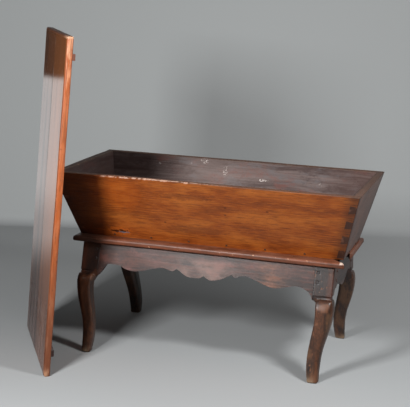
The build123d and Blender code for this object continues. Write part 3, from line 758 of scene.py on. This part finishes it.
def settled(points, amount):
    """Drifted points, with the unevenness fading out near the floor."""
    fade = np.clip(points[:, 2] / 0.05, 0.0, 1.0)[:, None]
    return points + (drifted(points, amount) - points) * fade


def points_of(data):
    """The points of a mesh, as rows."""
    points = np.empty(len(data.vertices) * 3)
    data.vertices.foreach_get("co", points)
    return points.reshape(-1, 3)


def reshape(data, points):
    """Moves a mesh's points to the rows given, and shades it smooth."""
    data.vertices.foreach_set("co", points.ravel())
    data.polygons.foreach_set("use_smooth", np.ones(len(data.polygons), bool))


def added(name, data):
    """A new object in the scene."""
    made = bpy.data.objects.new(name, data)
    bpy.context.scene.collection.objects.link(made)
    return made


def cut_in_cells(mesh, cell):
    """Cuts a mesh's faces along planes, evenly spaced in each direction by about a cell."""
    points = np.array([vertex.co for vertex in mesh.verts])
    low, high = points.min(0), points.max(0)
    for axis, normal in enumerate((X, Y, Z)):
        count = int((high[axis] - low[axis]) / cell)
        for number in range(1, count):
            origin = [0.0] * 3
            origin[axis] = low[axis] + (high[axis] - low[axis]) * number / count
            bmesh.ops.bisect_plane(
                mesh, geom=mesh.verts[:] + mesh.edges[:] + mesh.faces[:], dist=1e-6,
                plane_co=origin, plane_no=normal)


def weathered(node, arris, cell, drift):
    """A copy of a CAD node with worn arrises and slightly uneven faces, as a new object.

    The copy's triangles are joined into flat faces, edges that turn by more than 25 degrees are
    rounded by the arris, and the faces are cut into cells whose corners drift.
    """
    mesh = bmesh.new()
    mesh.from_mesh(frame["nodes"][node].data)
    bmesh.ops.remove_doubles(mesh, verts=mesh.verts, dist=1e-6)
    bmesh.ops.dissolve_limit(
        mesh, angle_limit=radians(0.6), verts=mesh.verts, edges=mesh.edges, use_dissolve_boundaries=False)
    if arris:
        sharp = [edge for edge in mesh.edges if edge.is_manifold and edge.calc_face_angle(0.0) > radians(25)]
        bmesh.ops.bevel(
            mesh, geom=sharp, offset=arris, offset_type="OFFSET", segments=3, profile=0.5,
            affect="EDGES", clamp_overlap=True)
    if cell:
        cut_in_cells(mesh, cell)
    bmesh.ops.triangulate(mesh, faces=[face for face in mesh.faces if len(face.verts) > 4])
    data = bpy.data.meshes.new(node + "_worn")
    mesh.to_mesh(data)
    mesh.free()
    reshape(data, settled(points_of(data), drift))
    data.set_sharp_from_angle(angle=radians(40))
    data.update()
    worn = added(node + "_worn", data)
    weights = worn.modifiers.new("Flat faces keep their light", "WEIGHTED_NORMAL")
    weights.keep_sharp = True
    weights.weight = 80
    return worn


def take_place(piece, node, material):
    """Gives a piece its material and puts it in place of a CAD node, on that node's body."""
    piece.data.materials.clear()
    piece.data.materials.append(material)
    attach(piece, frame["nodes"][node]["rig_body"])
    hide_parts(node)


def dress(node, material, arris, cell, drift, swell=0.0):
    """Puts a weathered copy in place of a CAD node, with its material and body.

    swell moves the surface outwards along its normals, as pegs bulge that were driven in hard.
    """
    worn = weathered(node, arris, cell, drift)
    if swell:
        normals = np.empty(len(worn.data.vertices) * 3)
        worn.data.vertex_normals.foreach_get("vector", normals)
        reshape(worn.data, points_of(worn.data) + normals.reshape(-1, 3) * swell)
    take_place(worn, node, material)


def softened(points, data, rounds, share):
    """Points moved towards the mean of their neighbours, a share of half the way each round."""
    edges = np.empty(len(data.edges) * 2, dtype=int)
    data.edges.foreach_get("vertices", edges)
    edges = edges.reshape(-1, 2)
    count = np.bincount(edges.ravel(), minlength=len(points))[:, None]
    for _ in range(rounds):
        total = np.zeros_like(points)
        np.add.at(total, edges[:, 0], points[edges[:, 1]])
        np.add.at(total, edges[:, 1], points[edges[:, 0]])
        points = points + (total / count - points) * 0.5 * share[:, None]
    return points


def filled(depth, face, amount):
    """Distances that end in a neck's groove behind a face, brought out to just under it by an amount."""
    skin = face - NECK_SKIN
    return np.where((depth > face - NECK_GROOVE) & (depth < skin), depth + (skin - depth) * amount, depth)


def dress_leg(node, material, sizes, fill):
    """Puts a softened copy in place of a leg, as carved and worn by hand.

    The copy is remeshed in small even cells. Its neck is filled by a share, fill, times a bell curve over
    the height. Below the foot of the post, what stands out beyond the post is multiplied by the sine of
    the depth over the shoulder's height, so that the knee swells smoothly out of the post. Below the post
    it is then smoothed.
    """
    leg = weathered(node, 0.0, 0.0, 0.0)
    leg.modifiers.clear()
    cells = leg.modifiers.new("Even cells", "REMESH")
    cells.mode, cells.voxel_size = "VOXEL", sizes.leg_cell
    data = bpy.data.meshes.new_from_object(leg.evaluated_get(bpy.context.evaluated_depsgraph_get()))
    leg.modifiers.clear()
    data.name = leg.data.name
    leg.data = data
    points = points_of(data)
    side = 1.0 if "right" in node else -1.0
    ahead = -1.0 if "front" in node else 1.0
    outside, face, height = points[:, 0] * side, points[:, 1] * ahead, points[:, 2]
    lean = POST_FRONT + (POST_TOP - height) * STAND_SLOPE
    neck = np.exp(-(((height - NECK_HEIGHT) / NECK_SPREAD) ** 2)) * fill
    outside = filled(outside, POST_OUTSIDE, neck)
    face = filled(face, lean, neck)
    depth = np.clip((NECK_HEIGHT - height) / sizes.shoulder, 0.0, 1.0)
    swell = np.where(height < NECK_HEIGHT, 0.2 * fill + (1 - 0.2 * fill) * np.sin(depth * pi / 2), 1.0)
    outside -= np.clip(outside - POST_OUTSIDE, 0.0, None) * (1 - swell)
    face -= np.clip(face - lean, 0.0, None) * (1 - swell) * 0.7
    points[:, 0], points[:, 1] = outside * side, face * ahead
    share = 0.04 + 0.96 * np.clip((POST_FOOT + 0.012 - height) / 0.01, 0.0, 1.0)
    reshape(data, settled(softened(points, data, LEG_ROUNDS, share), sizes.drift))
    data.update()
    take_place(leg, node, material)


# ---- Operators ----

class DOUGHBOX_OT_trough(bpy.types.Operator):
    """Dress the trough's four leaning boards and its bottom"""

    bl_idname = "doughbox.trough"
    bl_label = "Trough"

    def execute(self, context):
        sizes, colours = chosen(context)
        front = (colours.front_dark, colours.front_mid, colours.front_light)
        ends = (colours.end_dark, colours.end_light, colours.end_light)
        for node, along, up, out, foot, seed, shades, marks in (
            ("trough_front", X, FRONT_UP, FRONT_OUT, FRONT_FOOT, 3.0, front, front_marks),
            ("trough_back", X, BACK_UP, BACK_OUT, BACK_FOOT, 11.0, front, None),
            ("trough_right_end", Y, RIGHT_UP, RIGHT_OUT, RIGHT_FOOT, 23.0, ends, None),
            ("trough_left_end", Y, LEFT_UP, LEFT_OUT, LEFT_FOOT, 31.0, ends, None),
            ("trough_bottom_front", X, Y, (0, 0, -1), FRONT_FOOT, 41.0, ends, None),
            ("trough_bottom_back", X, Y, (0, 0, -1), BACK_FOOT, 47.0, ends, None),
        ):
            material = trough_finish(node + "_wood", along, up, out, foot, seed, *shades, colours, marks)
            cell = sizes.fine_cell if marks else sizes.cell
            dress(node, material, sizes.board_arris, cell, sizes.drift)
        return {"FINISHED"}


class DOUGHBOX_OT_lid(bpy.types.Operator):
    """Dress the lid's boards and battens"""

    bl_idname = "doughbox.lid"
    bl_label = "Lid"

    def execute(self, context):
        sizes, colours = chosen(context)
        near = (colours.lid_near_dark, colours.lid_near_light)
        other = (colours.lid_dark, colours.lid_light)
        for node, seed, shades, arris in (
            ("lid_board_near", 5.0, near, 0.0),
            ("lid_board_far", 9.0, other, 0.0),
            ("lid_batten_top", 14.0, other, sizes.board_arris),
            ("lid_batten_bottom", 19.0, other, sizes.board_arris),
        ):
            material = lid_finish(node + "_wood", colours, seed, *shades)
            dress(node, material, arris, sizes.cell, sizes.drift)
        return {"FINISHED"}


class DOUGHBOX_OT_stand(bpy.types.Operator):
    """Dress the stand's legs, aprons and moulding"""

    bl_idname = "doughbox.stand"
    bl_label = "Stand"

    def execute(self, context):
        sizes, colours = chosen(context)
        shades = (colours.stand_dark, colours.stand_light, colours.stand_worn)
        for node, seed, wear, fill, marks in LEGS:
            material = stand_finish(
                node + "_wood", Z, Y, X, *shades, seed, wear=wear, marks=marks, tint=leg_tint)
            dress_leg(node, material, sizes, fill)
        shades = (colours.apron_dark, colours.apron_light, colours.stand_worn)
        for node, along, up, out, seed in (
            ("apron_front", X, APRON_UP, APRON_OUT, 61.0),
            ("apron_back", X, Z, Y, 63.0),
            ("apron_left", Y, Z, (-1, 0, 0), 65.0),
            ("apron_right", Y, Z, X, 67.0),
        ):
            material = stand_finish(node + "_wood", along, up, out, *shades, seed, tint=apron_tint)
            dress(node, material, sizes.board_arris, sizes.cell, sizes.drift)
        shades = (colours.moulding_dark, colours.moulding_light, colours.edge_worn)
        for node, along, up, seed in (
            ("moulding_front", X, Y, 71.0),
            ("moulding_back", X, Y, 73.0),
            ("moulding_left", Y, X, 75.0),
            ("moulding_right", Y, X, 77.0),
        ):
            material = stand_finish(
                node + "_wood", along, up, Z, *shades, seed, 0.5, MOULDING_WEAR, MOULDING_MARKS, moulding_tint)
            dress(node, material, 0.0, sizes.cell, sizes.drift)
        return {"FINISHED"}


class DOUGHBOX_OT_fixings(bpy.types.Operator):
    """Dress the pegs and the hand-made nails"""

    bl_idname = "doughbox.fixings"
    bl_label = "Pegs and nails"

    def execute(self, context):
        sizes, colours = chosen(context)
        wood = stand_finish(
            "peg_wood", Y, Z, X, colours.stand_dark, colours.moulding_dark, colours.stand_worn, 81.0, 0.55,
            tint=leg_tint)
        iron = iron_finish("nail_iron", colours)
        dress("apron_pegs", wood, sizes.nail_arris, 0.0, sizes.drift, PEG_SWELL)
        for node in ("trough_nails", "moulding_nails", "lid_nails"):
            dress(node, iron, sizes.nail_arris, 0.0, sizes.drift)
        return {"FINISHED"}


def aim(place, target):
    """The matrix of a lamp or camera at a place that looks at a target."""
    back = (Vector(place) - Vector(target)).normalized()
    right = Vector(Z).cross(back).normalized()
    matrix = Matrix((right, back.cross(right), back)).transposed().to_4x4()
    matrix.translation = place
    return matrix


def soft_lamp(name, place, target, width, height, watts):
    """A rectangular studio lamp."""
    data = bpy.data.lights.new(name, "AREA")
    data.shape = "RECTANGLE"
    data.size, data.size_y = width, height
    data.energy = watts
    added(name, data).matrix_world = aim(place, target)


def sheet_object(name, points):
    """A smooth sheet from a grid of points, given as rows by columns by three."""
    rows, columns = points.shape[:2]
    index = np.arange(rows * columns).reshape(rows, columns)
    faces = np.stack([index[:-1, :-1], index[:-1, 1:], index[1:, 1:], index[1:, :-1]], -1).reshape(-1, 4)
    data = bpy.data.meshes.new(name)
    data.from_pydata(points.reshape(-1, 3).tolist(), [], faces.tolist())
    data.polygons.foreach_set("use_smooth", np.ones(len(data.polygons), bool))
    return added(name, data)


class DOUGHBOX_OT_stage(bpy.types.Operator):
    """Set the studio: paper floor and backdrop, soft lamps and the camera"""

    bl_idname = "doughbox.stage"
    bl_label = "Studio"

    def execute(self, context):
        sizes, colours = chosen(context)
        self.paper(sizes, colours)
        self.card()
        for lamp in LAMPS:
            soft_lamp(*lamp)
        self.world(context)
        self.camera(context)
        return {"FINISHED"}

    def paper(self, sizes, colours):
        """Paper: a level floor, a quarter circle and a wall, carried sideways. Seen from behind it is clear.

        The profile's height is 0 up to the bend, then radius * (1 - cos t) while it runs on by
        radius * sin t, then rises straight.
        """
        radius, reach, wall = sizes.sweep, sizes.floor_reach, sizes.wall_distance
        turn = np.linspace(0.0, pi / 2, 16)
        run = np.concatenate([[-reach, -reach / 2], wall - radius + radius * np.sin(turn), [wall]])
        height = np.concatenate([[0.0, 0.0], radius * (1 - np.cos(turn)), [reach / 2]])
        points = run[:, None] * HEADING + height[:, None] * np.array(Z)
        sideways = np.linspace(-reach, reach, 9)
        paper = sheet_object("studio_paper", points[:, None, :] + sideways[None, :, None] * SIDEWAYS)
        finish = Finish("studio_paper")
        mottle = finish.noise(finish.place, 1.2, detail=2.0)
        wall_part = finish.along(Z).rise(0.0, radius)
        looked_at = finish.node("ShaderNodeLightPath", output="Is Camera Ray")
        seen = looked_at.most(finish.node("ShaderNodeLightPath", output="Is Glossy Ray"))
        paper_colour = finish.layered(
            colours.floor_paper, (wall_part, colours.wall_paper),
            (mottle.rise(0.3, 0.7, 0, 0.05), PAPER_MOTTLE))
        across, away = finish.along(SIDEWAYS.tolist()), finish.along(HEADING.tolist())
        # Painted light: for camera and glossy rays the paper glows unevenly, brighter towards the right, and
        # for other rays the wall glows faintly and lights the object from behind
        on_wall = across.rise(-1.8, 1.6, 0.11, 0.175)
        on_floor = across.rise(-0.5, 1.4, 0.0, 0.1) * away.rise(-1.0, 0.6, 0.35, 1.0)
        on_floor = on_floor + away.rise(0.0, 1.2, 0.0, 0.045)
        lift = (wall_part * on_wall + (1 - wall_part) * on_floor) * seen + (1 - seen) * wall_part * 0.04
        behind = finish.node("ShaderNodeNewGeometry", output="Backfacing")
        finish.surface(
            Alpha=1 - behind * looked_at, Base_Color=finish.mix(seen, colours.bounce_paper, paper_colour),
            Roughness=0.9, Specular_IOR_Level=0.1, Emission_Strength=1.0,
            Emission_Color=finish.joined(lift, lift * 1.02, lift * 1.02))
        paper.data.materials.append(finish.material)

    def card(self):
        """A card that only reflections show, beside the backdrop: dark above its edge and pale below.

        Its profile runs along the floor, where its glow fades in, and up the wall. It is carried sideways
        from its near edge.
        """
        along = np.stack([CARD_SIDE, np.full(len(CARD_SIDE), CARD_FAR_SIDE)], 1)
        profile = CARD_AWAY[:, None] * HEADING + CARD_HEIGHT[:, None] * np.array(Z)
        card = sheet_object("reflected_card", profile[:, None] + along[:, :, None] * SIDEWAYS)
        finish = Finish("reflected_card")
        height, away = finish.along(Z), finish.along(HEADING.tolist())
        foot = away.rise(0.95, 2.0, 0.11, CARD_FOOT_GLOW)
        glow = height.rise(CARD_EDGE - 0.02, CARD_EDGE + 0.02, 1.0, 0.03)
        glow = glow * (foot + height.rise(0.0, 0.35, 0.0, CARD_GLOW - CARD_FOOT_GLOW))
        finish.surface(
            Base_Color=(0, 0, 0), Roughness=1.0, Specular_IOR_Level=0.0, Emission_Strength=1.0,
            Emission_Color=finish.joined(glow, glow, glow))
        card.data.materials.append(finish.material)
        card.visible_camera = card.visible_diffuse = card.visible_shadow = False

    def world(self, context):
        """A little light from all round. The camera sees a pale world instead, which gives no light."""
        world = bpy.data.worlds.new("studio_air")
        world.use_nodes = True
        tree = world.node_tree
        air = tree.nodes["Background"]
        air.inputs["Color"].default_value = (*FILL_AIR, 1)
        air.inputs["Strength"].default_value = FILL_STRENGTH
        pale = tree.nodes.new("ShaderNodeBackground")
        pale.inputs["Color"].default_value = (*FAR_AIR, 1)
        rays, blend = tree.nodes.new("ShaderNodeLightPath"), tree.nodes.new("ShaderNodeMixShader")
        for number, source in enumerate((rays.outputs["Is Camera Ray"], air.outputs[0], pale.outputs[0])):
            tree.links.new(source, blend.inputs[number])
        tree.links.new(blend.outputs[0], tree.nodes["World Output"].inputs["Surface"])
        context.scene.world = world

    def camera(self, context):
        """The photograph's camera, with its slight roll."""
        data = bpy.data.cameras.new("camera")
        data.lens, data.sensor_width, data.sensor_fit = CAMERA_LENS, 36, "HORIZONTAL"
        camera = added("camera", data)
        a, e, roll = CAMERA_AZIMUTH, CAMERA_ELEVATION, CAMERA_ROLL
        back = Vector((sin(a) * cos(e), -cos(a) * cos(e), sin(e)))
        level = Vector((cos(a), sin(a), 0))
        upright = back.cross(level)
        right = level * cos(roll) + upright * sin(roll)
        up = upright * cos(roll) - level * sin(roll)
        matrix = Matrix((right, up, back)).transposed().to_4x4()
        matrix.translation = CAMERA_PLACE
        camera.matrix_world = matrix
        context.scene.camera = camera
        context.scene.view_settings.view_transform = "Standard"


OPERATORS = (DOUGHBOX_OT_trough, DOUGHBOX_OT_lid, DOUGHBOX_OT_stand, DOUGHBOX_OT_fixings, DOUGHBOX_OT_stage)


class DOUGHBOX_PT_panel(bpy.types.Panel):
    """Lists the dough box's pieces and its studio"""

    bl_idname = "DOUGHBOX_PT_panel"
    bl_label = "Dough box"
    bl_space_type = "VIEW_3D"
    bl_region_type = "UI"
    bl_category = "Dough box"

    def draw(self, context):
        for operator in OPERATORS:
            self.layout.operator(operator.bl_idname)
        for group in (context.scene.dough_box_sizes, context.scene.dough_box_colours):
            column = self.layout.column()
            for name in group.__annotations__:
                column.prop(group, name)


CLASSES = (DoughBoxSizes, DoughBoxColours, *OPERATORS, DOUGHBOX_PT_panel)


def register():
    for each in CLASSES:
        bpy.utils.register_class(each)
    bpy.types.Scene.dough_box_sizes = PointerProperty(type=DoughBoxSizes)
    bpy.types.Scene.dough_box_colours = PointerProperty(type=DoughBoxColours)


def unregister():
    del bpy.types.Scene.dough_box_colours
    del bpy.types.Scene.dough_box_sizes
    for each in reversed(CLASSES):
        bpy.utils.unregister_class(each)


def main():
    register()
    bpy.ops.doughbox.trough()
    bpy.ops.doughbox.lid()
    bpy.ops.doughbox.stand()
    bpy.ops.doughbox.fixings()
    bpy.ops.doughbox.stage()


if __name__ == "__main__":
    main()
